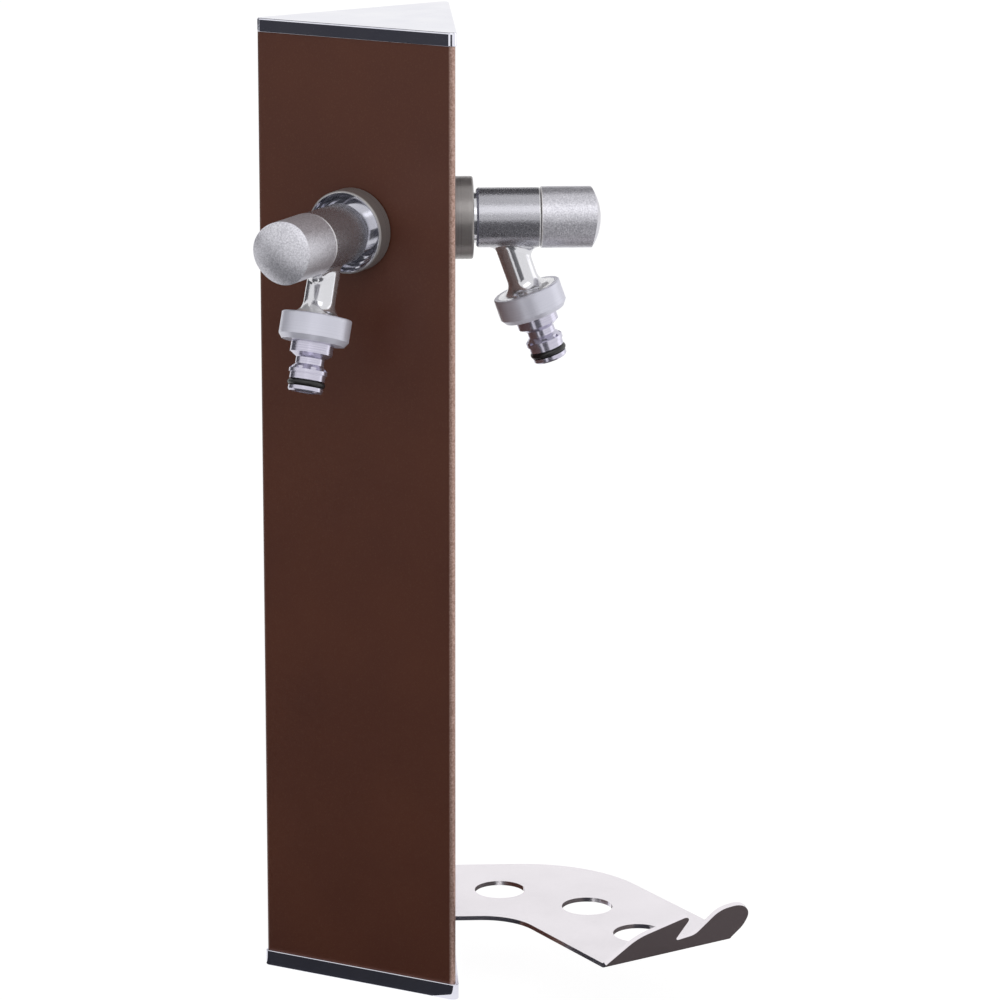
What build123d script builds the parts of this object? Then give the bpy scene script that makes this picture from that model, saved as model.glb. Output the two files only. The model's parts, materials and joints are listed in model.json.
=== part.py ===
from build123d import *
from math import asin, cos, degrees, radians, sin, sqrt, tan
import os

# Garden standpipe: a triangular column that stands with its back face against a wall.
# Two quarter-turn taps leave its two front faces and a bent steel plate near its foot
# carries the rolled hose. Millimetres, +Z up. The origin lies under the column's axis,
# on the flat underside of the bottom cap. The wall face looks along +Y.

# Overall sizes
face_width = 100.0
overall_height = 438.0
tap_drop = 89.2
holder_height = 33.5

# Directions in which the three faces look, in degrees from +X
near_angle = -150.0
far_angle = -30.0
wall_angle = 90.0
corner_angle = -90.0

# Gaps and overruns shared by several pieces
slip_gap = 0.3
close_gap = 0.05
turning_gap = 0.05
cut_overrun = 2.0

# Column, an extruded aluminium tube
column_wall = 3.0
column_corner_radius = 2.0
column_inner_radius = 1.0

# Caps, with a skirt that plugs into the column
top_cap_height = 6.0
bottom_cap_height = 7.4
top_cap_proud = 0.7
bottom_cap_proud = 1.4
cap_corner_radius = 2.5
cap_edge_radius = 0.7
cap_seam_radius = 0.4
cap_floor = 3.0
skirt_wall = 2.0
skirt_depth = 10.0

# Wall screws, one above and one below the water parts
wall_hole_radius = 3.25
lower_wall_hole_height = 62.0
upper_wall_hole_drop = 30.0

# Foot block and its screws
screw_radius = 2.5
screw_head_radius = 4.6
screw_head_depth = 2.4
cap_screw_offset = 14.0
cap_screw_length = 27.0
nut_height = 4.0
nut_half_flats = 4.0

# Hose holder, bent from steel sheet
holder_sheet = 2.0
holder_width = 70.0
holder_root_shift = 3.0
holder_end_shift = 64.0
holder_reach = 163.0
holder_inner_radius = 26.0
holder_outer_radius = 60.0
holder_hole_radius = 11.5
first_hole_distance = 22.0
last_hole_distance = 24.5
hole_spacing = 41.5
tongue_width = 44.0
tongue_length = 22.0
tongue_screw_spacing = 26.0
bend_radius = 1.5
flange_angle = 60.0
flange_length = 24.9
flange_foot_share = 0.965
flange_rise_across_share = 0.17
flange_rise_up_share = 0.66
flange_rise_radius_share = 0.70
hook_shares = ((1.265, 1.0), (1.434, 0.34), (1.012, 0.39), (0.675, 0.95), (0.197, 1.0),
               (-0.084, 0.68), (-0.056, 0.34))
hook_radius_shares = (0.11, 0.06, 0.20, 0.35, 0.44, 0.41, 0.44)

# Manifold, the brass block that feeds both taps
manifold_half_height = 17.0
manifold_core_radius = 17.0
boss_radius = 14.0
port_radius = 10.5
port_depth = 14.0
duct_radius = 6.0
inlet_boss_radius = 12.8
inlet_recess = 0.2

# Escutcheon and its seal, distances measured out of the column's face
seal_thickness = 0.6
seal_inner_radius = 12.0
seal_outer_radius = 17.6
escutcheon_radius = 18.3
escutcheon_depth = 8.8
escutcheon_base = 2.0
escutcheon_rim = 1.1
escutcheon_edge_radius = 0.9
escutcheon_bowl_radius = 13.2
escutcheon_steps = 3

# Tap body, a brass casting with its shank, neck and spout
shank_radius = 10.4
washer_thickness = 1.5
neck_radius = 11.2
body_start = 10.9
body_length = 28.0
body_radius = 13.25
body_rear_chamfer = 0.8
body_front_chamfer = 0.3
chamber_start = 14.5
chamber_radius = 10.3

# Spout, measured along its own axis from the tap's axis
spout_tilt = 19.5
spout_root = 21.7
spout_radius = 6.9
spout_bore_radius = 4.5
spout_root_radius = 4.0
spout_flare_radius = 5.8
spout_thread_radius = 13.15
nut_start = 34.4
spout_thread_length = 6.0

# Union nut
nut_radius = 15.3
nut_length = 11.8
nut_edge_chamfer = 0.4
nut_lip = 2.3
nut_bevel_length = 2.2
nut_bevel_depth = 1.6

# Hose nipple and its seals
gasket_thickness = 1.5
nipple_flange_radius = 12.9
nipple_flange_thickness = 2.0
nipple_collar_radius = 9.3
nipple_collar_end = 16.6
nipple_cone_length = 2.1
nipple_waist_radius = 6.2
nipple_waist_length = 2.8
nipple_ring_radius = 8.35
nipple_ring_bevel = 2.3
nipple_ring_width = 1.6
nipple_barrel_radius = 7.7
nipple_barrel_length = 2.8
o_ring_radius = 8.2
o_ring_wire = 2.7
groove_width = 3.0
nipple_lip_radius = 7.6
nipple_lip_length = 2.3
nipple_lip_chamfer = 0.7
nipple_bore_radius = 4.5
notch_count = 8
notch_width = 2.6
notch_depth = 1.1
notch_length = 1.5

# Ceramic cartridge, measured along the tap's axis from the chamber's floor
seat_washer_thickness = 1.5
seat_washer_inner_radius = 6.0
sleeve_radius = 9.0
sleeve_length = 11.5
disc_pocket_radius = 7.8
disc_radius = 7.5
disc_thickness = 2.5
disc_hole_radius = 2.3
disc_hole_offset = 4.3
window_height = 8.0
cartridge_recess = 0.5
gland_radius = 7.0
gland_length = 6.0
spindle_bore_radius = 4.05
spindle_radius = 4.0
driver_radius = 7.0
driver_thickness = 2.4
collar_radius = 5.5
spindle_ring_wire = 1.8
spindle_ring_place = 5.0

# Handle
handle_gap = 0.4
handle_radius = 13.6
handle_length = 26.7
handle_crown_radius = 23.0
handle_side_crown_radius = 44.0
handle_crown_drop = 0.6
handle_crown_roll = 24.0
handle_cavity_radius = 10.8
handle_cavity_depth = 7.0
handle_edge_chamfer = 0.3
handle_grip_depth = 19.0
grub_radius = 2.0
grub_length = 8.0
grub_place = 12.5

# Places worked out from the sizes above
inner_reach = face_width / (2.0 * sqrt(3.0))
tap_height = overall_height - tap_drop
column_top = overall_height - top_cap_height
column_length = column_top - bottom_cap_height
block_bottom = bottom_cap_height + skirt_depth
block_top = holder_height
block_height = block_top - block_bottom
thread_radius = screw_radius + close_gap
upper_wall_hole_height = overall_height - upper_wall_hole_drop
far_normal = Vector(cos(radians(far_angle)), sin(radians(far_angle)), 0)
far_along = Vector(-far_normal.Y, far_normal.X, 0)
holder_root = far_normal * inner_reach - far_along * holder_root_shift
bend_line = inner_reach - holder_reach
seal_face = seal_thickness
neck_start = seal_face + escutcheon_base
shank_end = -column_wall - port_depth + washer_thickness
body_end = body_start + body_length
handle_start = body_end + handle_gap
handle_end = handle_start + handle_length
nut_end = nut_start + nut_length
spout_end = nut_start + spout_thread_length
gasket_end = spout_end + gasket_thickness
flange_end = gasket_end + nipple_flange_thickness
seat_face = chamber_start + seat_washer_thickness
cartridge_front = body_end - cartridge_recess


def reach_to_corner(inset):
    """Distance from the column's axis to a corner of its triangle, drawn in by inset."""
    return 2.0 * (inner_reach - inset)


def outward(angle):
    """Unit vector that leaves the column at this angle."""
    return Vector(cos(radians(angle)), sin(radians(angle)), 0)


def face_plane(angle, distance, height):
    """Plane parallel to the column's face at this angle, looking outward."""
    centre = outward(angle) * distance
    return Plane(origin=(centre.X, centre.Y, height), x_dir=(0, 0, 1), z_dir=outward(angle))


def tap_section(angle):
    """Upright plane through a tap's axis: x leaves the column's face and y is up."""
    normal = outward(angle)
    foot = normal * inner_reach
    return Plane(origin=(foot.X, foot.Y, tap_height), x_dir=normal,
                 z_dir=(normal.Y, -normal.X, 0))


def spout_section(angle):
    """Upright plane through a tap's axis: x runs down its spout from the tap's axis."""
    section = tap_section(angle)
    start = section.from_local_coords(Vector(spout_root, 0, 0))
    lean = radians(spout_tilt)
    return Plane(origin=start, x_dir=section.x_dir * sin(lean) - Vector(0, 0, 1) * cos(lean),
                 z_dir=section.z_dir)


def turning_axis(section):
    """The x axis of a section plane, about which its pieces are turned."""
    return Axis(origin=section.origin, direction=section.x_dir)


def across(section, distance):
    """Plane square to a section's x axis at this distance along it."""
    return Plane(origin=section.from_local_coords(Vector(distance, 0, 0)),
                 x_dir=section.y_dir, z_dir=section.x_dir)


def write(builder, name):
    """Label a finished piece and write it."""
    builder.part.label = name
    export_step(builder.part, "parts/" + name + ".step")


os.makedirs("parts", exist_ok=True)

# Column: hollow triangle with a hole for each tap, for the inlet and for the wall screws,
# and a slot for the hose holder's tongue.
with BuildPart() as column:
    with BuildSketch(Plane.XY.offset(bottom_cap_height)) as column_outline:
        RegularPolygon(radius=reach_to_corner(0), side_count=3, rotation=corner_angle)
        fillet(column_outline.vertices(), radius=column_corner_radius)
    extrude(amount=column_length)
    with BuildSketch(Plane.XY.offset(bottom_cap_height)) as column_bore:
        RegularPolygon(radius=reach_to_corner(column_wall), side_count=3, rotation=corner_angle)
        fillet(column_bore.vertices(), radius=column_inner_radius)
    extrude(amount=column_length, mode=Mode.SUBTRACT)
    for tap_angle in (near_angle, far_angle):
        with BuildSketch(face_plane(tap_angle, inner_reach, tap_height)):
            Circle(shank_radius + slip_gap)
        extrude(amount=-column_wall - cut_overrun, mode=Mode.SUBTRACT)
    with BuildSketch(face_plane(wall_angle, inner_reach, tap_height)):
        Circle(inlet_boss_radius + slip_gap)
    extrude(amount=-column_wall - cut_overrun, mode=Mode.SUBTRACT)
    for screw_height in (lower_wall_hole_height, upper_wall_hole_height):
        with BuildSketch(face_plane(wall_angle, inner_reach, screw_height)):
            Circle(wall_hole_radius)
        extrude(amount=-column_wall - cut_overrun, mode=Mode.SUBTRACT)
    slot_height = holder_height + holder_sheet / 2.0
    slot_plane = Plane(origin=(holder_root.X, holder_root.Y, slot_height), x_dir=(0, 0, 1),
                       z_dir=far_normal)
    with BuildSketch(slot_plane):
        Rectangle(holder_sheet + 2.0 * close_gap, tongue_width + 2.0 * slip_gap)
    extrude(amount=-column_wall - cut_overrun, mode=Mode.SUBTRACT)
write(column, "column")


def cap_outline_corners(proud):
    """Corners of a cap: proud of both front faces and flush with the wall face."""
    side = face_width / 2.0 + proud / cos(radians(far_angle))
    front = reach_to_corner(0) + 2.0 * proud
    return ((-side, inner_reach), (0, -front), (side, inner_reach))


# Top cap: chromed lid, hollow underneath, with a skirt inside the column.
with BuildPart() as top_cap:
    with BuildSketch(Plane.XY.offset(column_top)) as lid_outline:
        with BuildLine():
            Polyline(*cap_outline_corners(top_cap_proud), close=True)
        make_face()
        fillet(lid_outline.vertices(), radius=cap_corner_radius)
    extrude(amount=top_cap_height)
    fillet(top_cap.faces().sort_by(Axis.Z)[-1].edges(), radius=cap_edge_radius)
    fillet(top_cap.faces().sort_by(Axis.Z)[0].edges(), radius=cap_seam_radius)
    with BuildSketch(Plane.XY.offset(column_top)) as lid_skirt:
        RegularPolygon(radius=reach_to_corner(column_wall + slip_gap), side_count=3,
                       rotation=corner_angle)
        fillet(lid_skirt.vertices(), radius=column_inner_radius)
    extrude(amount=-skirt_depth)
    with BuildSketch(Plane.XY.offset(column_top - skirt_depth)):
        RegularPolygon(radius=reach_to_corner(column_wall + slip_gap + skirt_wall),
                       side_count=3, rotation=corner_angle)
    extrude(amount=skirt_depth + top_cap_height - cap_floor, mode=Mode.SUBTRACT)
write(top_cap, "top_cap")

# Bottom cap: the same lid turned over, with a countersunk hole for its screw.
with BuildPart() as bottom_cap:
    with BuildSketch(Plane.XY) as foot_outline:
        with BuildLine():
            Polyline(*cap_outline_corners(bottom_cap_proud), close=True)
        make_face()
        fillet(foot_outline.vertices(), radius=cap_corner_radius)
    extrude(amount=bottom_cap_height)
    fillet(bottom_cap.faces().sort_by(Axis.Z)[0].edges(), radius=cap_edge_radius)
    fillet(bottom_cap.faces().sort_by(Axis.Z)[-1].edges(), radius=cap_seam_radius)
    with BuildSketch(Plane.XY.offset(bottom_cap_height)) as foot_skirt:
        RegularPolygon(radius=reach_to_corner(column_wall + slip_gap), side_count=3,
                       rotation=corner_angle)
        fillet(foot_skirt.vertices(), radius=column_inner_radius)
    extrude(amount=skirt_depth)
    with BuildSketch(Plane.XY.offset(cap_floor)):
        RegularPolygon(radius=reach_to_corner(column_wall + slip_gap + skirt_wall),
                       side_count=3, rotation=corner_angle)
    extrude(amount=bottom_cap_height - cap_floor + skirt_depth, mode=Mode.SUBTRACT)
    with BuildSketch(Plane.XZ.offset(-cap_screw_offset)):
        with BuildLine():
            Polyline((0, 0), (screw_head_radius + close_gap, 0),
                     (thread_radius, screw_head_depth), (thread_radius, cap_floor),
                     (0, cap_floor), close=True)
        make_face()
    revolve(axis=Axis((0, cap_screw_offset, 0), (0, 0, 1)), mode=Mode.SUBTRACT)
write(bottom_cap, "bottom_cap")


def tongue_screw_places():
    """Plan positions of the two screws that hold the tongue, on the block."""
    depth = column_wall + tongue_length / 2.0
    middle = holder_root - far_normal * depth
    half = far_along * (tongue_screw_spacing / 2.0)
    return [(middle - half), (middle + half)]


# Foot block: aluminium plug under the holder's tongue. Both are screwed together through
# the column's slot, so neither can leave, and the bottom cap is screwed to the block.
with BuildPart() as foot_block:
    with BuildSketch(Plane.XY.offset(block_bottom)) as block_outline:
        RegularPolygon(radius=reach_to_corner(column_wall + slip_gap), side_count=3,
                       rotation=corner_angle)
        fillet(block_outline.vertices(), radius=column_inner_radius)
    extrude(amount=block_height)
    for place in tongue_screw_places():
        with BuildSketch(Plane.XZ.offset(-place.Y)):
            with BuildLine():
                Polyline((place.X, block_bottom),
                         (place.X + screw_head_radius + close_gap, block_bottom),
                         (place.X + thread_radius, block_bottom + screw_head_depth),
                         (place.X + thread_radius, block_top), (place.X, block_top), close=True)
            make_face()
        revolve(axis=Axis((place.X, place.Y, 0), (0, 0, 1)), mode=Mode.SUBTRACT)
    with BuildSketch(Plane.XY.offset(block_bottom)):
        with Locations((0, cap_screw_offset)):
            Circle(thread_radius)
    extrude(amount=cap_screw_length - block_bottom + cut_overrun, mode=Mode.SUBTRACT)
write(foot_block, "foot_block")

# Cap screw: countersunk, up through the bottom cap into the foot block.
with BuildPart() as cap_screw:
    with BuildSketch(Plane.XZ.offset(-cap_screw_offset)):
        with BuildLine():
            Polyline((0, 0), (screw_head_radius, 0), (screw_radius, screw_head_depth),
                     (screw_radius, cap_screw_length), (0, cap_screw_length), close=True)
        make_face()
    revolve(axis=Axis((0, cap_screw_offset, 0), (0, 0, 1)))
write(cap_screw, "cap_screw")

# Hose holder: flat plate that leaves the far face, turns to stand square to the wall and
# ends in a flange folded up, with a hook notch for the end of the hose.
inner_root = holder_root - far_along * (holder_width / 2.0)
outer_root = holder_root + far_along * (holder_width / 2.0)
inner_x = holder_end_shift - holder_width / 2.0
outer_x = holder_end_shift + holder_width / 2.0
inner_corner = inner_root + far_normal * ((inner_x - inner_root.X) / far_normal.X)
outer_corner = outer_root + far_normal * ((outer_x - outer_root.X) / far_normal.X)
bend_outer_radius = bend_radius + holder_sheet
setback = bend_outer_radius * tan(radians(flange_angle / 2.0))
bend_start = bend_line + setback
foot_x = inner_x + holder_width * flange_foot_share
corner_cut = outer_x - foot_x
last_hole_y = bend_line + last_hole_distance
hole_places = [
    holder_root + far_normal * first_hole_distance,
    Vector(holder_end_shift, last_hole_y + hole_spacing, 0),
    Vector(holder_end_shift, last_hole_y, 0),
]
with BuildPart() as hose_holder:
    with BuildSketch(Plane.XY.offset(holder_height)) as plate_outline:
        with BuildLine():
            Polyline((inner_root.X, inner_root.Y), (inner_corner.X, inner_corner.Y),
                     (inner_x, bend_start), (foot_x, bend_start),
                     (outer_x, bend_start + corner_cut), (outer_corner.X, outer_corner.Y),
                     (outer_root.X, outer_root.Y), close=True)
        make_face()
        inner_turn = plate_outline.vertices().sort_by_distance(inner_corner)[0]
        fillet(inner_turn, radius=holder_inner_radius)
        outer_turn = plate_outline.vertices().sort_by_distance(outer_corner)[0]
        fillet(outer_turn, radius=holder_outer_radius)
        for place in hole_places:
            with Locations((place.X, place.Y)):
                Circle(holder_hole_radius, mode=Mode.SUBTRACT)
    extrude(amount=holder_sheet)
    tongue_reach = column_wall + tongue_length
    tongue_plane = Plane(origin=(holder_root.X, holder_root.Y, holder_height),
                         x_dir=far_normal, z_dir=(0, 0, 1))
    with BuildSketch(tongue_plane):
        with Locations((-tongue_reach / 2.0, 0)):
            Rectangle(tongue_reach, tongue_width)
    extrude(amount=holder_sheet)
    for place in tongue_screw_places():
        with BuildSketch(Plane.XY.offset(holder_height)):
            with Locations((place.X, place.Y)):
                Circle(thread_radius)
        extrude(amount=holder_sheet, mode=Mode.SUBTRACT)
    bend_plane = Plane(origin=(foot_x, bend_start, holder_height + bend_outer_radius),
                       x_dir=(0, -1, 0), z_dir=(-1, 0, 0))
    with BuildSketch(bend_plane):
        with BuildLine():
            outer_arc = CenterArc((0, 0), bend_outer_radius, corner_angle, flange_angle)
            inner_arc = CenterArc((0, 0), bend_radius, corner_angle, flange_angle)
            Line(outer_arc @ 0, inner_arc @ 0)
            Line(outer_arc @ 1, inner_arc @ 1)
        make_face()
    extrude(amount=foot_x - inner_x)
    rise = radians(flange_angle)
    flange_plane = Plane(origin=(inner_x, bend_line, holder_height), x_dir=(1, 0, 0),
                         z_dir=(0, -sin(rise), -cos(rise)))
    rise_point = (holder_width * flange_rise_across_share,
                  flange_length * flange_rise_up_share)
    hook_points = [(holder_width - flange_length * inward_share, flange_length * up_share)
                   for inward_share, up_share in hook_shares]
    with BuildSketch(flange_plane) as flange_outline:
        with BuildLine():
            Polyline((0, setback), rise_point, *hook_points, (foot_x - inner_x, setback),
                     close=True)
        make_face()
        radius_shares = (flange_rise_radius_share, *hook_radius_shares)
        for point, radius_share in zip((rise_point, *hook_points), radius_shares):
            turn = flange_outline.vertices().sort_by_distance(Vector(point[0], point[1], 0))[0]
            fillet(turn, radius=flange_length * radius_share)
    extrude(amount=-holder_sheet)
write(hose_holder, "hose_holder")

# Holder screws: two, from under the foot block up through the tongue.
holder_screw_top = block_top + holder_sheet + nut_height
with BuildPart() as holder_screws:
    for place in tongue_screw_places():
        with BuildSketch(Plane.XZ.offset(-place.Y)):
            with BuildLine():
                Polyline((place.X, block_bottom), (place.X + screw_head_radius, block_bottom),
                         (place.X + screw_radius, block_bottom + screw_head_depth),
                         (place.X + screw_radius, holder_screw_top),
                         (place.X, holder_screw_top), close=True)
            make_face()
        revolve(axis=Axis((place.X, place.Y, 0), (0, 0, 1)))
write(holder_screws, "holder_screws")

# Holder nuts: two hexagon nuts on top of the tongue.
with BuildPart() as holder_nuts:
    with BuildSketch(Plane.XY.offset(block_top + holder_sheet)):
        for place in tongue_screw_places():
            with Locations((place.X, place.Y)):
                RegularPolygon(radius=nut_half_flats, side_count=6, major_radius=False)
                Circle(thread_radius, mode=Mode.SUBTRACT)
    extrude(amount=nut_height)
write(holder_nuts, "holder_nuts")

# Manifold: brass block on the column's axis. Its three bosses meet the walls at the tap
# holes and at the inlet hole, where the wall's water connection screws in.
boss_reach = inner_reach - column_wall
inlet_face = inner_reach - inlet_recess
with BuildPart() as manifold:
    with BuildSketch(Plane.XY.offset(tap_height - manifold_half_height)):
        RegularPolygon(radius=manifold_core_radius, side_count=6, rotation=corner_angle)
    extrude(amount=2.0 * manifold_half_height)
    for port_angle in (near_angle, far_angle, wall_angle):
        with BuildSketch(face_plane(port_angle, 0, tap_height)):
            Circle(boss_radius)
        extrude(amount=boss_reach)
    with BuildSketch(face_plane(wall_angle, 0, tap_height)):
        Circle(inlet_boss_radius)
    extrude(amount=inlet_face)
    for port_angle in (near_angle, far_angle, wall_angle):
        with BuildSketch(face_plane(port_angle, 0, tap_height)):
            Circle(duct_radius)
        extrude(amount=boss_reach, mode=Mode.SUBTRACT)
        with BuildSketch(face_plane(port_angle, boss_reach - port_depth, tap_height)):
            Circle(port_radius)
        extrude(amount=port_depth + column_wall, mode=Mode.SUBTRACT)
write(manifold, "manifold")


def make_escutcheon_seal(section):
    """Rubber ring between the column's face and the escutcheon."""
    with BuildPart() as escutcheon_seal:
        with BuildSketch(section):
            with BuildLine():
                Polyline((0, seal_inner_radius), (seal_face, seal_inner_radius),
                         (seal_face, seal_outer_radius), (0, seal_outer_radius), close=True)
            make_face()
        revolve(axis=turning_axis(section))
    return escutcheon_seal


def make_escutcheon(section):
    """Dished round cover that hides the hole in the column, stepped inside."""
    front = seal_face + escutcheon_depth
    mouth_radius = escutcheon_radius - escutcheon_rim
    step_length = (front - neck_start) / escutcheon_steps
    step_height = (mouth_radius - escutcheon_bowl_radius) / escutcheon_steps
    bowl = []
    for step in range(escutcheon_steps):
        place = front - step * step_length
        radius = mouth_radius - step * step_height
        bowl.append((place, radius))
        bowl.append((place - step_length, radius - step_height / 2.0))
    with BuildPart() as escutcheon:
        with BuildSketch(section):
            with BuildLine():
                Polyline((seal_face, shank_radius + slip_gap), (seal_face, escutcheon_radius),
                         (front, escutcheon_radius), *bowl,
                         (neck_start, shank_radius + slip_gap), close=True)
            make_face()
        revolve(axis=turning_axis(section))
        rim = escutcheon.edges().filter_by(GeomType.CIRCLE)
        outer_rim = rim.sort_by(lambda edge: edge.radius)[-2:]
        front_rim = outer_rim.sort_by_distance(section.origin)[-1]
        fillet(front_rim, radius=escutcheon_edge_radius)
    return escutcheon


def make_tap_body(section, spout):
    """Brass casting: shank, neck, round body and leaning spout, bored for the water."""
    with BuildPart() as tap_body:
        with BuildSketch(section):
            with BuildLine():
                Polyline((shank_end, 0), (shank_end, shank_radius), (neck_start, shank_radius),
                         (neck_start, neck_radius), (body_start, neck_radius),
                         (body_start, body_radius - body_rear_chamfer),
                         (body_start + body_rear_chamfer, body_radius),
                         (body_end - body_front_chamfer, body_radius),
                         (body_end, body_radius - body_front_chamfer), (body_end, 0),
                         close=True)
            make_face()
        revolve(axis=turning_axis(section))
        with BuildSketch(spout):
            with BuildLine():
                flare_start = nut_start - spout_flare_radius
                flare_rim = spout_radius + spout_flare_radius
                Polyline((spout_radius, 0), (spout_radius, spout_radius),
                         (flare_start, spout_radius))
                CenterArc((flare_start, flare_rim), spout_flare_radius, corner_angle,
                          -corner_angle)
                Polyline((nut_start, flare_rim),
                         (nut_start, spout_thread_radius), (spout_end, spout_thread_radius),
                         (spout_end, 0), (spout_radius, 0))
            make_face()
        revolve(axis=turning_axis(spout))
        root_edges = tap_body.edges(Select.NEW).sort_by_distance(section.origin)
        fillet(root_edges[0], radius=spout_root_radius)
        with BuildSketch(section):
            with BuildLine():
                Polyline((shank_end, 0), (shank_end, duct_radius), (chamber_start, duct_radius),
                         (chamber_start, chamber_radius), (body_end, chamber_radius),
                         (body_end, 0), close=True)
            make_face()
        revolve(axis=turning_axis(section), mode=Mode.SUBTRACT)
        with BuildSketch(across(spout, 0)):
            Circle(spout_bore_radius)
        extrude(amount=spout_end, mode=Mode.SUBTRACT)
    return tap_body


def make_port_washer(section):
    """Flat seal between the shank's end and the floor of its port."""
    with BuildPart() as port_washer:
        with BuildSketch(section):
            with BuildLine():
                Polyline((shank_end - washer_thickness, duct_radius), (shank_end, duct_radius),
                         (shank_end, shank_radius),
                         (shank_end - washer_thickness, shank_radius), close=True)
            make_face()
        revolve(axis=turning_axis(section))
    return port_washer


def make_seat_washer(section):
    """Rubber seat on the chamber's floor, under the cartridge."""
    with BuildPart() as seat_washer:
        with BuildSketch(section):
            with BuildLine():
                Polyline((chamber_start, seat_washer_inner_radius),
                         (seat_face, seat_washer_inner_radius), (seat_face, sleeve_radius),
                         (chamber_start, sleeve_radius), close=True)
            make_face()
        revolve(axis=turning_axis(section))
    return seat_washer


def make_cartridge_housing(section):
    """Brass sleeve screwed into the body, with two side windows and a gland in front."""
    sleeve_end = seat_face + sleeve_length
    pocket_end = seat_face + 2.0 * disc_thickness + driver_thickness + driver_thickness
    gland_end = cartridge_front + gland_length
    with BuildPart() as cartridge_housing:
        with BuildSketch(section):
            with BuildLine():
                Polyline((seat_face, disc_pocket_radius), (seat_face, sleeve_radius),
                         (sleeve_end, sleeve_radius),
                         (sleeve_end, chamber_radius - close_gap),
                         (cartridge_front, chamber_radius - close_gap),
                         (cartridge_front, gland_radius), (gland_end, gland_radius),
                         (gland_end, spindle_bore_radius), (pocket_end, spindle_bore_radius),
                         (pocket_end, disc_pocket_radius), close=True)
            make_face()
        revolve(axis=turning_axis(section))
        window_middle = seat_face + 1.5 * disc_thickness
        with BuildSketch(section):
            with Locations((window_middle, 0)):
                Rectangle(disc_thickness, window_height)
        extrude(amount=sleeve_radius + cut_overrun, both=True, mode=Mode.SUBTRACT)
    return cartridge_housing


def make_disc(section, start, radius, hole_angle):
    """Ceramic disc with two water holes on one diameter."""
    with BuildPart() as disc:
        with BuildSketch(across(section, start)):
            Circle(radius)
            with PolarLocations(disc_hole_offset, 2, start_angle=hole_angle):
                Circle(disc_hole_radius, mode=Mode.SUBTRACT)
        extrude(amount=disc_thickness - turning_gap)
    return disc


def make_spindle(section):
    """Brass spindle: driver behind, collar, and a stem that the handle sits on."""
    driver_start = seat_face + 2.0 * disc_thickness
    driver_end = driver_start + driver_thickness
    collar_end = driver_end + driver_thickness - turning_gap
    stem_end = handle_start + handle_grip_depth - slip_gap
    groove = cartridge_front + gland_length - spindle_ring_place
    groove_floor = spindle_radius - spindle_ring_wire
    half_wire = spindle_ring_wire / 2.0
    with BuildPart() as spindle:
        with BuildSketch(section):
            with BuildLine():
                Polyline((driver_start, 0), (driver_start, driver_radius),
                         (driver_end, driver_radius), (driver_end, collar_radius),
                         (collar_end, collar_radius), (collar_end, spindle_radius),
                         (groove - half_wire, spindle_radius),
                         (groove - half_wire, groove_floor),
                         (groove + half_wire, groove_floor),
                         (groove + half_wire, spindle_radius), (stem_end, spindle_radius),
                         (stem_end, 0), close=True)
            make_face()
        revolve(axis=turning_axis(section))
    return spindle


def make_ring(section, place, outer_radius, wire):
    """Round rubber ring around a section's axis."""
    wire_radius = wire / 2.0
    with BuildPart() as ring:
        with BuildSketch(section):
            with Locations((place, outer_radius - wire_radius)):
                Circle(wire_radius)
        revolve(axis=turning_axis(section))
    return ring


def make_handle(section):
    """Round handle with a crowned end, hollow at the back around the gland."""
    cavity_end = handle_start + handle_cavity_depth
    hole_end = handle_start + handle_grip_depth
    crown_centre = handle_end - handle_crown_radius
    crown_axis_place = handle_end - handle_side_crown_radius
    crown_half_height = handle_radius + 2.0 * handle_crown_drop
    crown_half_angle = degrees(asin(crown_half_height / handle_crown_radius))
    roll = radians(handle_crown_roll)
    crown_plane = Plane(origin=section.origin, x_dir=section.x_dir,
                        z_dir=section.z_dir * cos(roll) + section.y_dir * sin(roll))
    with BuildPart() as crown:
        with BuildSketch(crown_plane):
            with BuildLine():
                arc = CenterArc((crown_centre, -handle_crown_drop), handle_crown_radius,
                                -crown_half_angle, 2.0 * crown_half_angle)
                lower = arc @ 0
                upper = arc @ 1
                Polyline((lower.X, lower.Y), (crown_axis_place, lower.Y),
                         (crown_axis_place, upper.Y), (upper.X, upper.Y))
            make_face()
        crown_foot = crown_plane.from_local_coords(Vector(crown_axis_place, 0, 0))
        revolve(axis=Axis(crown_foot, crown_plane.y_dir))
    with BuildPart() as handle:
        with BuildSketch(section):
            with BuildLine():
                Polyline((handle_start, handle_cavity_radius),
                         (handle_start, handle_radius - handle_edge_chamfer),
                         (handle_start + handle_edge_chamfer, handle_radius),
                         (handle_end + cut_overrun, handle_radius),
                         (handle_end + cut_overrun, 0), (hole_end, 0),
                         (hole_end, spindle_radius + close_gap),
                         (cavity_end, spindle_radius + close_gap),
                         (cavity_end, handle_cavity_radius), close=True)
            make_face()
        revolve(axis=turning_axis(section))
        add(crown.part, mode=Mode.INTERSECT)
        grub_plane = Plane(origin=section.from_local_coords(
            Vector(handle_start + grub_place, -spindle_radius, 0)),
            x_dir=section.x_dir, z_dir=(0, 0, -1))
        with BuildSketch(grub_plane):
            Circle(grub_radius + close_gap)
        extrude(amount=handle_radius, mode=Mode.SUBTRACT)
    return handle


def make_handle_screw(section):
    """Grub screw that clamps the handle to its spindle from below."""
    head = Plane(origin=section.from_local_coords(
        Vector(handle_start + grub_place, -spindle_radius, 0)),
        x_dir=section.x_dir, z_dir=(0, 0, -1))
    with BuildPart() as handle_screw:
        with BuildSketch(head):
            Circle(grub_radius)
        extrude(amount=grub_length)
        with BuildSketch(head.offset(grub_length)):
            RegularPolygon(radius=grub_radius / 2.0, side_count=6)
        extrude(amount=-grub_radius, mode=Mode.SUBTRACT)
    return handle_screw


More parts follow.
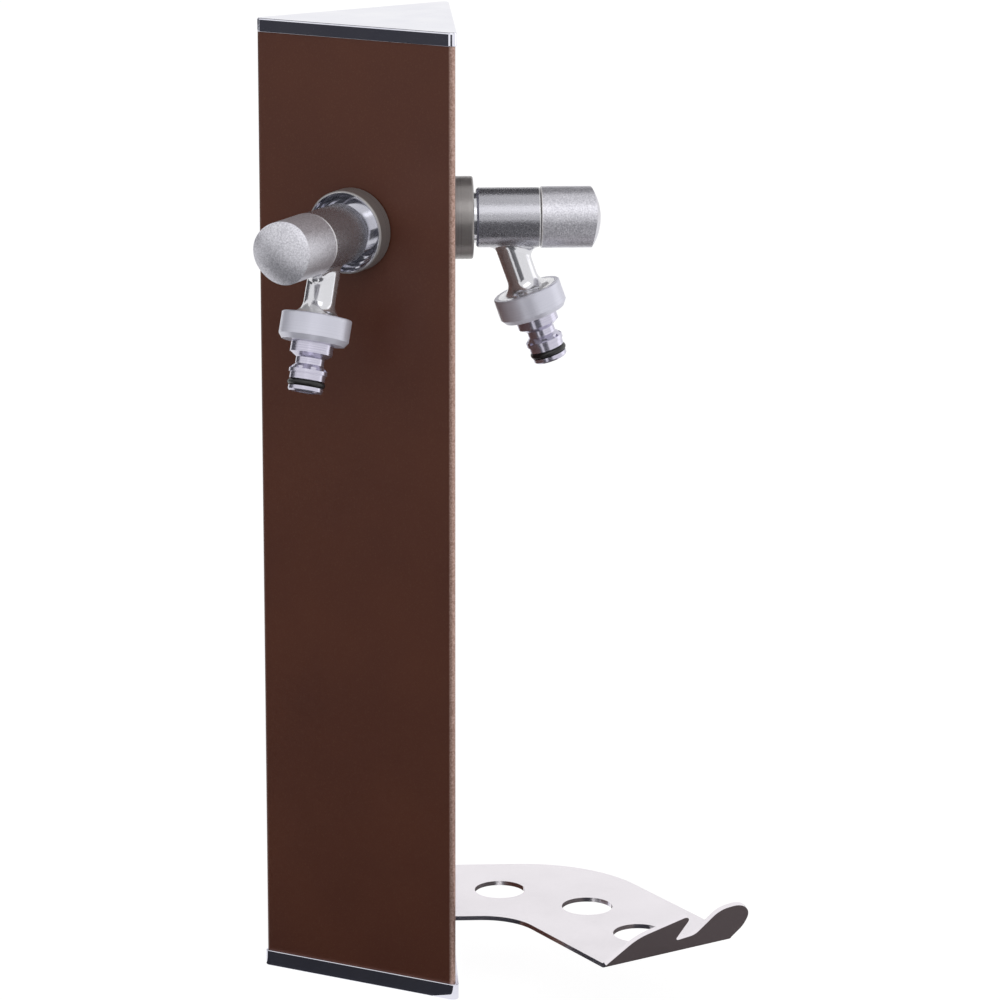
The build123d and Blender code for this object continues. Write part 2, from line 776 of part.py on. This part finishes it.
def make_union_nut(spout):
    """Round nut with a lip below, screwed up over the spout's thread."""
    thread = spout_thread_radius + close_gap
    lip_start = nut_end - nut_lip
    with BuildPart() as union_nut:
        with BuildSketch(spout):
            with BuildLine():
                Polyline((nut_start, thread), (nut_start, nut_radius - nut_edge_chamfer),
                         (nut_start + nut_edge_chamfer, nut_radius),
                         (nut_end - nut_bevel_length, nut_radius),
                         (nut_end, nut_radius - nut_bevel_depth),
                         (nut_end, nipple_collar_radius + close_gap),
                         (lip_start, nipple_collar_radius + close_gap), (lip_start, thread),
                         close=True)
            make_face()
        revolve(axis=turning_axis(spout))
    return union_nut


def make_nipple_gasket(spout):
    """Flat rubber seal between the spout's end and the nipple's flange."""
    with BuildPart() as nipple_gasket:
        with BuildSketch(spout):
            with BuildLine():
                Polyline((spout_end, spout_bore_radius), (gasket_end, spout_bore_radius),
                         (gasket_end, nipple_flange_radius),
                         (spout_end, nipple_flange_radius), close=True)
            make_face()
        revolve(axis=turning_axis(spout))
    return nipple_gasket


def nipple_places():
    """Distances along the spout's axis at which the nipple's profile changes."""
    collar_end = nut_start + nipple_collar_end
    waist_start = collar_end + nipple_cone_length
    waist_end = waist_start + nipple_waist_length
    ring_start = waist_end + nipple_ring_bevel
    ring_end = ring_start + nipple_ring_width
    barrel_end = ring_end + nipple_barrel_length
    groove_end = barrel_end + groove_width
    tip = groove_end + nipple_lip_length
    return (collar_end, waist_start, waist_end, ring_start, ring_end, barrel_end, groove_end,
            tip)


def make_hose_nipple(spout):
    """Nipple for a click hose connector: collar, waist, notched ring and sealing nose."""
    (collar_end, waist_start, waist_end, ring_start, ring_end, barrel_end, groove_end,
     tip) = nipple_places()
    groove_floor = o_ring_radius - o_ring_wire - close_gap
    flange_start = gasket_end
    with BuildPart() as hose_nipple:
        with BuildSketch(spout):
            with BuildLine():
                Polyline((flange_start, nipple_bore_radius), (flange_start, nipple_flange_radius),
                         (flange_end, nipple_flange_radius), (flange_end, nipple_collar_radius),
                         (collar_end, nipple_collar_radius),
                         (waist_start, nipple_waist_radius), (waist_end, nipple_waist_radius),
                         (ring_start, nipple_ring_radius), (ring_end, nipple_ring_radius),
                         (ring_end, nipple_barrel_radius), (barrel_end, nipple_barrel_radius),
                         (barrel_end, groove_floor), (groove_end, groove_floor),
                         (groove_end, nipple_lip_radius),
                         (tip - nipple_lip_chamfer, nipple_lip_radius),
                         (tip, nipple_lip_radius - nipple_lip_chamfer),
                         (tip, nipple_bore_radius), close=True)
            make_face()
        revolve(axis=turning_axis(spout))
        notch_middle = nipple_ring_radius - notch_depth / 2.0
        with BuildSketch(across(spout, ring_start - notch_length)):
            with PolarLocations(notch_middle, notch_count):
                Rectangle(notch_depth, notch_width)
        extrude(amount=notch_length, mode=Mode.SUBTRACT)
    return hose_nipple


def make_nipple_o_ring(spout):
    """Rubber ring in the nose's groove."""
    places = nipple_places()
    return make_ring(spout, (places[5] + places[6]) / 2.0, o_ring_radius, o_ring_wire)


# Two taps of one pattern: the near one on the left front face, the far one on the right.
for tap_name, tap_angle in (("near", near_angle), ("far", far_angle)):
    tap_plane = tap_section(tap_angle)
    spout_plane = spout_section(tap_angle)
    ring_place = cartridge_front + gland_length - spindle_ring_place
    write(make_escutcheon_seal(tap_plane), tap_name + "_escutcheon_seal")
    write(make_escutcheon(tap_plane), tap_name + "_escutcheon")
    write(make_tap_body(tap_plane, spout_plane), tap_name + "_tap_body")
    write(make_port_washer(tap_plane), tap_name + "_port_washer")
    write(make_seat_washer(tap_plane), tap_name + "_seat_washer")
    write(make_cartridge_housing(tap_plane), tap_name + "_cartridge_housing")
    write(make_disc(tap_plane, seat_face, disc_pocket_radius - close_gap, 0),
          tap_name + "_fixed_disc")
    write(make_disc(tap_plane, seat_face + disc_thickness, disc_radius, wall_angle),
          tap_name + "_turning_disc")
    write(make_spindle(tap_plane), tap_name + "_spindle")
    write(make_ring(tap_plane, ring_place, spindle_radius, spindle_ring_wire),
          tap_name + "_spindle_ring")
    write(make_handle(tap_plane), tap_name + "_handle")
    write(make_handle_screw(tap_plane), tap_name + "_handle_screw")
    write(make_union_nut(spout_plane), tap_name + "_union_nut")
    write(make_nipple_gasket(spout_plane), tap_name + "_nipple_gasket")
    write(make_hose_nipple(spout_plane), tap_name + "_hose_nipple")
    write(make_nipple_o_ring(spout_plane), tap_name + "_nipple_ring")
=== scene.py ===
import json
from math import cos, radians, sin

import bpy
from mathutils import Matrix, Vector


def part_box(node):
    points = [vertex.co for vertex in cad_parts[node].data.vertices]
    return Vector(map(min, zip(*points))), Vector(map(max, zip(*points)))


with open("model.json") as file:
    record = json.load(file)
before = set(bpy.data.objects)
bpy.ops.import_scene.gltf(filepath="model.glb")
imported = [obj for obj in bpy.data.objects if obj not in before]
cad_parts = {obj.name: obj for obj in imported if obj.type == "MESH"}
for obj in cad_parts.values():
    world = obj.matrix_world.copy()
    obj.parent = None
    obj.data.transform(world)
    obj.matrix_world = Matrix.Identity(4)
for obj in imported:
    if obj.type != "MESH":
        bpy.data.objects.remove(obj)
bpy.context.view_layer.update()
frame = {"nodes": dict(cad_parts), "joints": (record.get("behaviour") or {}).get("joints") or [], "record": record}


# Bottom and top cap: cast zinc lids, polished and chromed, that close the column's ends.
# Each has a skirt that plugs into the tube, and a countersunk screw holds the lower one.
def tint(red, green, blue):
    """A colour as seen on a screen, 0 to 255, turned into the light that it stands for."""
    def light(value):
        share = value / 255.0
        if share <= 0.04045:
            return share / 12.92
        return ((share + 0.055) / 1.055) ** 2.4
    return (light(red), light(green), light(blue), 1.0)


def finish(name, colour, metal, roughness):
    """A new finish with these even values, ready for nodes that vary them."""
    material = bpy.data.materials.new(name)
    material.use_nodes = True
    shader = material.node_tree.nodes["Principled BSDF"]
    shader.inputs["Base Color"].default_value = colour
    shader.inputs["Metallic"].default_value = metal
    shader.inputs["Roughness"].default_value = roughness
    return material


def add(material, kind, inputs=None, **settings):
    """Adds one node to a finish. An input is an even value or another node's output."""
    made = material.node_tree.nodes.new(kind)
    for key, value in settings.items():
        setattr(made, key, value)
    for socket, value in (inputs or {}).items():
        if isinstance(value, bpy.types.NodeSocket):
            material.node_tree.links.new(value, made.inputs[socket])
        else:
            made.inputs[socket].default_value = value
    return made


def place_on(material):
    """Where a point of the piece lies in the standpipe's own frame, in metres."""
    return add(material, "ShaderNodeTexCoord").outputs["Object"]


def grain(material, vector, size, detail=2.0):
    """Cloudy grain from 0 to 1 whose lumps are about this wide, in metres."""
    return add(material, "ShaderNodeTexNoise",
               {"Vector": vector, "Scale": 1.0 / size, "Detail": detail}).outputs["Fac"]


def spread(material, value, low, high, start=0.3, stop=0.7):
    """Stretches a value from start and stop to the range from low to high."""
    return add(material, "ShaderNodeMapRange",
               {"Value": value, "From Min": start, "From Max": stop,
                "To Min": low, "To Max": high}).outputs["Result"]


def mixed(material, share, first, second):
    """The first colour where share is 0 and the second where it is 1."""
    return add(material, "ShaderNodeMix", {"Factor": share, "A": first, "B": second},
               data_type="RGBA").outputs["Result"]


def drive(material, socket, value):
    """Feeds a value or colour that varies over the piece to the finish's shader."""
    shader = material.node_tree.nodes["Principled BSDF"]
    material.node_tree.links.new(value, shader.inputs[socket])


def emboss(material, height, depth, strength=1.0):
    """Raises the surface by a height from 0 to 1 times this depth, in metres."""
    bump = add(material, "ShaderNodeBump",
               {"Height": height, "Distance": depth, "Strength": strength})
    drive(material, "Normal", bump.outputs["Normal"])


def dress(material, *nodes):
    """Gives these pieces of the frame this finish."""
    for name in nodes:
        for slot in frame["nodes"][name].material_slots:
            slot.material = material


haze_size = 0.018
speck_size = 0.0006
speck_depth = 0.000004
cap_chrome = finish("cap_chrome", tint(226, 226, 234), metal=1.0, roughness=0.04)
cap_place = place_on(cap_chrome)
cap_haze = grain(cap_chrome, cap_place, haze_size, detail=4.0)
cap_specks = grain(cap_chrome, cap_place, speck_size)
drive(cap_chrome, "Roughness", spread(cap_chrome, cap_haze, low=0.025, high=0.06))
drive(cap_chrome, "Base Color", mixed(cap_chrome, spread(cap_chrome, cap_haze, 0.0, 1.0),
                                      tint(230, 230, 238), tint(218, 218, 230)))
emboss(cap_chrome, cap_specks, speck_depth, strength=0.4)
dress(cap_chrome, "bottom_cap", "top_cap")

# Foot block and screws: an aluminium plug sawn from bar, with plain stainless screws
# and nuts. They hold the bottom cap and the hose holder's tongue inside the column.
saw_mark_size = 0.004
saw_mark_depth = 0.00004
saw_mark_squeeze = 12.0
block_finish = finish("sawn_aluminium", tint(198, 198, 203), metal=1.0, roughness=0.4)
block_lines = add(block_finish, "ShaderNodeMapping",
                  {"Vector": place_on(block_finish), "Scale": (1.0, 1.0, saw_mark_squeeze)})
block_grain = grain(block_finish, block_lines.outputs["Vector"], saw_mark_size, detail=4.0)
drive(block_finish, "Roughness", spread(block_finish, block_grain, low=0.32, high=0.5))
emboss(block_finish, block_grain, saw_mark_depth)
dress(block_finish, "foot_block")

screw_grain_size = 0.0012
screw_grain_depth = 0.00001
screw_finish = finish("screw_steel", tint(190, 190, 192), metal=1.0, roughness=0.3)
screw_grain = grain(screw_finish, place_on(screw_finish), screw_grain_size, detail=3.0)
drive(screw_finish, "Roughness", spread(screw_finish, screw_grain, low=0.24, high=0.42))
emboss(screw_finish, screw_grain, screw_grain_depth)
dress(screw_finish, "cap_screw", "holder_screws", "holder_nuts", "near_handle_screw",
      "far_handle_screw")

# Column: an extruded aluminium tube of three equal faces, powder coated brown, with a fine
# orange peel and a little pearl in the coat. Its front corner carries a painted highlight.
peel_size = 0.0011
peel_depth = 0.00003
pearl_size = 0.0007
coat_cloud_size = 0.06
corner_start = 0.0003
corner_end = 0.001
front_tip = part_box("column")[0][1]
coat = finish("column_coat", tint(87, 45, 29), metal=0.2, roughness=0.42)
coat_place = place_on(coat)
coat_peel = grain(coat, coat_place, peel_size, detail=3.0)
coat_pearl = grain(coat, coat_place, pearl_size, detail=1.0)
coat_cloud = grain(coat, coat_place, coat_cloud_size, detail=3.0)
coat_depth = add(coat, "ShaderNodeSeparateXYZ", {"Vector": coat_place}).outputs["Y"]
# Painted highlight: the rounded front corner is painted lighter and more metallic, in place of the white floor
# that it mirrors.
corner_highlight_share = spread(coat, coat_depth, low=1.0, high=0.0,
                   start=front_tip + corner_start, stop=front_tip + corner_end)
coat_ground = mixed(coat, spread(coat, coat_cloud, 0.0, 1.0), tint(91, 48, 31),
                    tint(84, 43, 29))
pearl_share = spread(coat, coat_pearl, low=0.0, high=0.3, start=0.55, stop=0.75)
coat_face = mixed(coat, pearl_share, coat_ground, tint(108, 70, 50))
corner_highlight_tone = mixed(coat, spread(coat, coat_pearl, 0.0, 1.0), tint(150, 118, 106),
                  tint(196, 166, 154))
drive(coat, "Base Color", mixed(coat, corner_highlight_share, coat_face, corner_highlight_tone))
drive(coat, "Metallic", spread(coat, corner_highlight_share, low=0.2, high=0.65, start=0.0, stop=1.0))
drive(coat, "Roughness", spread(coat, coat_peel, low=0.36, high=0.48))
emboss(coat, coat_peel, peel_depth, strength=0.6)
dress(coat, "column")

# Hose holder: cut from stainless sheet and bent, held by its tongue in the column's slot.
# Its faces are finely ground across, which leaves faint lines in a soft shine.
ground_line_size = 0.003
ground_line_depth = 0.000006
ground_line_squeeze = 14.0
plate_cloud_size = 0.03
holder_steel = finish("holder_steel", tint(236, 231, 236), metal=1.0, roughness=0.16)
plate_lines = add(holder_steel, "ShaderNodeMapping",
                  {"Vector": place_on(holder_steel), "Scale": (1.0, ground_line_squeeze, 1.0)})
plate_grain = grain(holder_steel, plate_lines.outputs["Vector"], ground_line_size, detail=5.0)
plate_cloud = grain(holder_steel, place_on(holder_steel), plate_cloud_size, detail=3.0)
drive(holder_steel, "Roughness", spread(holder_steel, plate_cloud, low=0.14, high=0.19))
drive(holder_steel, "Base Color",
      mixed(holder_steel, spread(holder_steel, plate_grain, 0.0, 1.0),
            tint(240, 235, 240), tint(232, 227, 232)))
emboss(holder_steel, plate_grain, ground_line_depth, strength=0.5)
dress(holder_steel, "hose_holder")

# Manifold and spindles: brass, sawn, turned and bored. The manifold feeds both taps and is
# clamped against the column's two front walls by their shanks.
brass_grain_size = 0.0015
brass_grain_depth = 0.00001
raw_brass = finish("raw_brass", tint(214, 178, 104), metal=1.0, roughness=0.32)
brass_grain = grain(raw_brass, place_on(raw_brass), brass_grain_size, detail=4.0)
drive(raw_brass, "Roughness", spread(raw_brass, brass_grain, low=0.24, high=0.42))
drive(raw_brass, "Base Color", mixed(raw_brass, brass_grain, tint(221, 186, 112),
                                     tint(202, 164, 92)))
emboss(raw_brass, brass_grain, brass_grain_depth)
dress(raw_brass, "manifold", "near_spindle", "far_spindle")

# Seals: rings and washers of black rubber, moulded, with a dry bloom and a slight shine.
# Those of each tap lie at its escutcheon, shank, cartridge, spindle and nipple.
seals = ("escutcheon_seal", "port_washer", "seat_washer", "spindle_ring", "nipple_gasket",
         "nipple_ring")
rubber_grain_size = 0.0005
rubber_grain_depth = 0.00001
rubber = finish("seal_rubber", tint(20, 20, 21), metal=0.0, roughness=0.4)
rubber_grain = grain(rubber, place_on(rubber), rubber_grain_size, detail=3.0)
drive(rubber, "Roughness", spread(rubber, rubber_grain, low=0.3, high=0.5))
drive(rubber, "Base Color", mixed(rubber, rubber_grain, tint(15, 15, 16), tint(29, 29, 30)))
emboss(rubber, rubber_grain, rubber_grain_depth)
dress(rubber, *[side + "_" + seal for side in ("near", "far") for seal in seals])

# Cartridges: two lapped white ceramic discs in a nickelled brass sleeve. They sit inside
# each tap body and stop the water within a quarter turn.
sleeve_grain_size = 0.0015
nickelled_brass = finish("nickelled_brass", tint(168, 166, 168), metal=1.0, roughness=0.3)
sleeve_grain = grain(nickelled_brass, place_on(nickelled_brass), sleeve_grain_size, detail=4.0)
drive(nickelled_brass, "Roughness", spread(nickelled_brass, sleeve_grain, low=0.22, high=0.4))
drive(nickelled_brass, "Base Color", mixed(nickelled_brass, sleeve_grain,
                                           tint(176, 174, 176), tint(158, 156, 159)))
dress(nickelled_brass, "near_cartridge_housing", "far_cartridge_housing")

ceramic_grain_size = 0.0008
ceramic = finish("lapped_ceramic", tint(232, 230, 224), metal=0.0, roughness=0.2)
ceramic_grain = grain(ceramic, place_on(ceramic), ceramic_grain_size, detail=3.0)
drive(ceramic, "Roughness", spread(ceramic, ceramic_grain, low=0.12, high=0.26))
drive(ceramic, "Base Color", mixed(ceramic, ceramic_grain, tint(238, 236, 231),
                                   tint(224, 221, 214)))
dress(ceramic, "near_fixed_disc", "near_turning_disc", "far_fixed_disc", "far_turning_disc")


# Escutcheons: a round cover at the root of each tap, spun from brass and chromed. The rim
# is left with its turning lines and the stepped dish in front is polished.
def along_axis(material, origin, direction):
    """A point's place counted from origin, turned so that z runs along direction."""
    turn = Vector(direction).rotation_difference(Vector((0, 0, 1)))
    shift = turn @ Vector(origin)
    return add(material, "ShaderNodeMapping",
               {"Vector": place_on(material), "Location": -shift,
                "Rotation": turn.to_euler()}).outputs["Vector"]


def axis_distance(material, turned):
    """How far a point is from a turned piece's axis."""
    flat = add(material, "ShaderNodeVectorMath", {0: turned, 1: (1, 1, 0)},
               operation="MULTIPLY").outputs["Vector"]
    return add(material, "ShaderNodeVectorMath", {0: flat},
               operation="LENGTH").outputs["Value"]


def axis_place(material, turned):
    """How far along a turned piece's axis a point is."""
    return add(material, "ShaderNodeSeparateXYZ", {"Vector": turned}).outputs["Z"]


def turning_lines(material, turned, pitch):
    """Fine rings left by a lathe tool, about one pitch apart, in metres."""
    profile = add(material, "ShaderNodeCombineXYZ",
                  {"X": axis_distance(material, turned), "Y": axis_place(material, turned)})
    return grain(material, profile.outputs["Vector"], pitch)


def below(material, value, limit, blur):
    """1 where value is under limit and 0 above it, with this much blur between."""
    return spread(material, value, low=1.0, high=0.0, start=limit - blur, stop=limit + blur)


def worked_out(material, operation, first, second):
    """One value that this operation makes of two."""
    return add(material, "ShaderNodeMath", {0: first, 1: second},
               operation=operation).outputs["Value"]


def chosen(material, share, first, second):
    """The first value where share is 0 and the second where it is 1."""
    return add(material, "ShaderNodeMix", {"Factor": share, "A": first,
                                           "B": second}).outputs["Result"]


joints = {joint["name"]: joint for joint in frame["joints"]}
tap_axes = {}
for side in ("near", "far"):
    joint = joints[side + "_handle_turn"]
    tap_axes[side] = ((0, 0, joint["pos_m"][2]), joint["axis"])

dish_edge = 0.0175
dish_edge_blur = 0.0003
rim_line_pitch = 0.00022
rim_line_depth = 0.00002
for side, (start, outward) in tap_axes.items():
    escutcheon = finish(side + "_escutcheon_chrome", tint(214, 214, 218),
                        metal=1.0, roughness=0.2)
    turned = along_axis(escutcheon, start, outward)
    lines = turning_lines(escutcheon, turned, rim_line_pitch)
    in_dish = below(escutcheon, axis_distance(escutcheon, turned), dish_edge, dish_edge_blur)
    rim_rough = spread(escutcheon, lines, low=0.24, high=0.42)
    dish_rough = spread(escutcheon, lines, low=0.05, high=0.09)
    line_share = spread(escutcheon, in_dish, low=1.0, high=0.15, start=0.0, stop=1.0)
    drive(escutcheon, "Roughness", chosen(escutcheon, in_dish, rim_rough, dish_rough))
    drive(escutcheon, "Metallic",
          spread(escutcheon, in_dish, low=0.55, high=1.0, start=0.0, stop=1.0))
    drive(escutcheon, "Base Color", mixed(escutcheon, in_dish, tint(154, 150, 149),
                                          tint(222, 222, 230)))
    emboss(escutcheon, worked_out(escutcheon, "MULTIPLY", lines, line_share), rim_line_depth)
    dress(escutcheon, side + "_escutcheon")

# Tap bodies: one brass casting each, with neck, round body and leaning spout. The round
# part is bead blasted before chroming and sparkles finely, up to a thin pale band at the
# handle, which is a painted highlight. The neck and the spout are polished first and stay bright.
mounts = {mount["name"]: mount for mount in frame["record"]["mounts"]}
wall_reach = mounts["wall_face"]["pos_m"][1]
blasted_radius = 0.0133
blasted_radius_blur = 0.0002
body_back = wall_reach + 0.0109
body_back_blur = 0.0001
body_front = wall_reach + 0.0389
lip_width = 0.0005
lip_blur = 0.00005
# Painted highlight: a pale, less metallic band on the body's front edge and the handle's back edge, in place of
# the light that the edge chamfers catch.
lip_highlight_tone = tint(246, 246, 248)
bead_size = 0.0007
bead_depth = 0.0001
polish_size = 0.01
for side, (start, outward) in tap_axes.items():
    body = finish(side + "_tap_body_chrome", tint(148, 147, 156), metal=0.8, roughness=0.3)
    turned = along_axis(body, start, outward)
    along = axis_place(body, turned)
    on_round = below(body, axis_distance(body, turned), blasted_radius, blasted_radius_blur)
    behind = below(body, along, body_back, body_back_blur)
    blasted = spread(body, worked_out(body, "SUBTRACT", on_round, behind),
                     low=0.0, high=1.0, start=0.0, stop=1.0)
    # Mask of the painted highlight band at the body's front edge.
    before_lip_highlight = below(body, along, body_front - lip_width, lip_blur)
    beads = grain(body, place_on(body), bead_size)
    polish = grain(body, place_on(body), polish_size, detail=3.0)
    blast_rough = spread(body, beads, low=0.26, high=0.36)
    bright_rough = spread(body, polish, low=0.13, high=0.18)
    blast_tone = mixed(body, spread(body, beads, 0.0, 1.0), tint(124, 123, 133),
                       tint(156, 155, 164))
    body_tone = mixed(body, blasted, tint(222, 222, 226), blast_tone)
    drive(body, "Roughness", chosen(body, blasted, bright_rough, blast_rough))
    drive(body, "Base Color", mixed(body, before_lip_highlight, lip_highlight_tone, body_tone))
    drive(body, "Metallic", spread(body, before_lip_highlight, low=0.4, high=0.8, start=0.0, stop=1.0))
    emboss(body, worked_out(body, "MULTIPLY", beads, blasted), bead_depth)
    dress(body, side + "_tap_body")

# Handles: die-cast knobs with a crowned end, bead blasted and chromed like the bodies,
# with a painted highlight as a thin pale band at the seam. A grub screw from below clamps each to its spindle.
handle_back = wall_reach + 0.0393
for side, (start, outward) in tap_axes.items():
    handle = finish(side + "_handle_chrome", tint(208, 207, 215), metal=0.6, roughness=0.34)
    along = axis_place(handle, along_axis(handle, start, outward))
    # Mask of the painted highlight band at the handle's back edge.
    in_lip_highlight = below(handle, along, handle_back + lip_width, lip_blur)
    beads = grain(handle, place_on(handle), bead_size)
    handle_tone = mixed(handle, spread(handle, beads, 0.0, 1.0), tint(186, 185, 193),
                        tint(231, 230, 237))
    drive(handle, "Roughness", spread(handle, beads, low=0.29, high=0.4))
    drive(handle, "Base Color", mixed(handle, in_lip_highlight, handle_tone, lip_highlight_tone))
    drive(handle, "Metallic", spread(handle, in_lip_highlight, low=0.6, high=0.4, start=0.0, stop=1.0))
    emboss(handle, beads, bead_depth)
    dress(handle, side + "_handle")

# Union nuts: turned from aluminium bar, bead blasted and anodised clear. Each is screwed
# up over its spout's thread and carries the nipple on its lip.
nut_line_pitch = 0.0003
nut_line_depth = 0.000012
for side in ("near", "far"):
    nipple = mounts[side + "_hose_nipple"]
    nut = finish(side + "_union_nut_satin", tint(217, 217, 229), metal=0.35, roughness=0.36)
    turned = along_axis(nut, nipple["pos_m"], nipple["axis"])
    lines = turning_lines(nut, turned, nut_line_pitch)
    beads = grain(nut, place_on(nut), bead_size)
    drive(nut, "Roughness", spread(nut, beads, low=0.33, high=0.39))
    drive(nut, "Base Color", mixed(nut, spread(nut, lines, 0.0, 1.0), tint(211, 211, 224),
                                   tint(223, 223, 235)))
    emboss(nut, worked_out(nut, "ADD", lines, beads), nut_line_depth)
    dress(nut, side + "_union_nut")

# Hose nipples: turned from brass, polished and nickel plated, with eight small windows
# milled behind the land. A garden hose connector snaps over each.
nipple_line_pitch = 0.0004
nipple_line_depth = 0.000001
for side in ("near", "far"):
    nipple = mounts[side + "_hose_nipple"]
    plating = finish(side + "_nipple_plating", tint(198, 195, 210), metal=0.85, roughness=0.2)
    turned = along_axis(plating, nipple["pos_m"], nipple["axis"])
    lines = turning_lines(plating, turned, nipple_line_pitch)
    drive(plating, "Roughness", spread(plating, lines, low=0.16, high=0.24))
    drive(plating, "Base Color", mixed(plating, spread(plating, lines, 0.0, 1.0),
                                       tint(192, 189, 206), tint(208, 205, 220)))
    emboss(plating, lines, nipple_line_depth)
    dress(plating, side + "_hose_nipple")


# Floor: a plain pale sheet under the standpipe. To the lens it is nearly even white, and
# only the soft shadow at the foot shows.
def stage_piece(name, points, faces, material):
    """A piece of the studio, which isn't part of the standpipe."""
    mesh = bpy.data.meshes.new(name)
    mesh.from_pydata(points, [], faces)
    mesh.materials.append(material)
    made = bpy.data.objects.new(name, mesh)
    bpy.context.scene.collection.objects.link(made)
    return made


def sheet(name, points, height, material):
    """A flat many-sided sheet at this height, from its corners in plan."""
    return stage_piece(name, [(x, y, height) for x, y in points],
                       [tuple(range(len(points)))], material)


def arc(radius, start, stop, steps):
    """Corners of a round edge from one direction to another, in degrees."""
    angles = [radians(start + (stop - start) * step / steps) for step in range(steps + 1)]
    return [(radius * cos(angle), radius * sin(angle)) for angle in angles]


def lens_share(material):
    """1 for what the lens sees straight, in metal or through glass, and 0 for light."""
    path = add(material, "ShaderNodeLightPath").outputs
    seen = worked_out(material, "MAXIMUM", path["Is Camera Ray"], path["Is Glossy Ray"])
    return worked_out(material, "MAXIMUM", seen, path["Is Transmission Ray"])


floor_reach = 6.0
floor_sides = 64
floor_glow_share = 0.8
floor_glow_strength = 1.16
floor_paper = finish("floor_paper", tint(240, 240, 241), metal=0.0, roughness=0.9)
paper_nodes = floor_paper.node_tree.nodes
paper_glow = add(floor_paper, "ShaderNodeEmission",
                 {"Color": (1, 1, 1, 1), "Strength": floor_glow_strength})
glow_share = worked_out(floor_paper, "MULTIPLY", lens_share(floor_paper), floor_glow_share)
paper_mix = add(floor_paper, "ShaderNodeMixShader",
                {0: glow_share, 1: paper_nodes["Principled BSDF"].outputs["BSDF"],
                 2: paper_glow.outputs["Emission"]})
floor_paper.node_tree.links.new(paper_mix.outputs["Shader"],
                                paper_nodes["Material Output"].inputs["Surface"])
sheet("floor", arc(floor_reach, 0.0, 360.0, floor_sides)[:-1], 0.0, floor_paper)

# Dark cards: laid and hung out of sight round the standpipe, as a photographer does, so
# that its chrome has dark shapes to mirror beside the white ones.
ring_steps = 32
wall_steps = 24
card_lift = 0.0004
card_navy = finish("card_navy", tint(12, 14, 32), metal=0.0, roughness=0.9)
card_grey = finish("card_grey", tint(96, 88, 88), metal=0.0, roughness=0.9)


def unseen(card):
    """Keeps a card out of the picture and out of the light. Only gloss mirrors it."""
    card.visible_camera = False
    card.visible_diffuse = False
    card.visible_shadow = False
    card.visible_transmission = False


def floor_card(name, inner, outer, start, stop, material):
    """A card on the floor: part of a flat ring between two directions, in degrees."""
    outer_edge = arc(outer, start, stop, ring_steps)
    inner_edge = arc(inner, start, stop, ring_steps)
    unseen(sheet(name, outer_edge + inner_edge[::-1], card_lift, material))


def standing_card(name, radius, height, start, stop):
    """A curved card that stands on the floor between two directions, in degrees."""
    foot = arc(radius, start, stop, wall_steps)
    points = [(x, y, level) for level in (0.0, height) for x, y in foot]
    top = len(foot)
    faces = [(i, i + 1, top + i + 1, top + i) for i in range(wall_steps)]
    unseen(stage_piece(name, points, faces, card_navy))


cap_reach = 0.11
foot_reach = 0.25
near_reach = 1.2
far_reach = 5.0
standing_card("back_left_card", 3.0, 0.95, 100.0, 161.0)
standing_card("far_left_wall", far_reach, 0.7, 175.0, 190.0)
floor_card("cap_card", 0.03, cap_reach, 150.0, 262.0, card_navy)
floor_card("foot_card", cap_reach, foot_reach, 150.0, 285.0, card_navy)
floor_card("left_card", foot_reach, near_reach, 150.0, 216.0, card_navy)
floor_card("front_card", foot_reach, near_reach, 230.0, 266.0, card_navy)
floor_card("far_left_card", near_reach, far_reach, 164.0, 186.0, card_navy)
floor_card("far_front_card", near_reach, far_reach, 222.0, 258.0, card_navy)
floor_card("right_card", 0.078, 0.3, 285.0, 400.0, card_grey)

ceiling_height = 2.3
ceiling_turn = -30.0
ceiling_corners = [(-3.0, 0.6), (0.7, 0.6), (0.7, 4.6), (-3.0, 4.6)]
ceiling_card = sheet("ceiling_card", ceiling_corners, 0.0, card_navy)
ceiling_card.rotation_euler = (0, 0, radians(ceiling_turn))
ceiling_card.location = (0, 0, ceiling_height)
unseen(ceiling_card)


# Light: a soft box from the left front and above, a taller one from the right, and a plain
# pale sky. The sky is white where the lens or the metal sees it.
def soft_box(name, place, aim, width, height, power):
    """A soft area lamp at place that points at aim."""
    lamp = bpy.data.lights.new(name, "AREA")
    lamp.shape = "RECTANGLE"
    lamp.size = width
    lamp.size_y = height
    lamp.energy = power
    made = bpy.data.objects.new(name, lamp)
    made.location = place
    made.rotation_euler = (Vector(aim) - Vector(place)).to_track_quat("-Z", "Y").to_euler()
    bpy.context.scene.collection.objects.link(made)


middle = (0.0, -0.03, 0.22)
soft_box("key_box", (-0.55, -1.1, 1.4), middle, width=1.3, height=0.9, power=3.6)
soft_box("right_box", (1.6, -0.5, 0.7), middle, width=1.0, height=1.6, power=2.8)

sky_strength = 0.6
sky = bpy.data.worlds.new("sky")
sky.use_nodes = True
bpy.context.scene.world = sky
sky_light = sky.node_tree.nodes["Background"]
sky_light.inputs["Color"].default_value = (1, 1, 1, 1)
sky_level = spread(sky, lens_share(sky), low=sky_strength, high=1.0, start=0.0, stop=1.0)
sky.node_tree.links.new(sky_level, sky_light.inputs["Strength"])

# Camera: higher than the standpipe, before its left front face and turned down to it, with
# a long lens as for a catalogue picture.
picture_width = 1000.0
focal_pixels = 4310.18
film_width = 36.0
lens_place = (-0.97111, -1.60309, 0.70574)
lens_turn = -32.717
lens_drop = 14.526
lens_roll = -0.14
clip_start = 0.05
camera = bpy.data.objects.new("camera", bpy.data.cameras.new("camera"))
camera.location = lens_place
camera.rotation_euler = (radians(90.0 - lens_drop), radians(lens_roll), radians(lens_turn))
camera.data.sensor_width = film_width
camera.data.lens = focal_pixels * film_width / picture_width
camera.data.clip_start = clip_start
bpy.context.scene.collection.objects.link(camera)
bpy.context.scene.camera = camera
bpy.context.scene.view_settings.view_transform = "Standard"
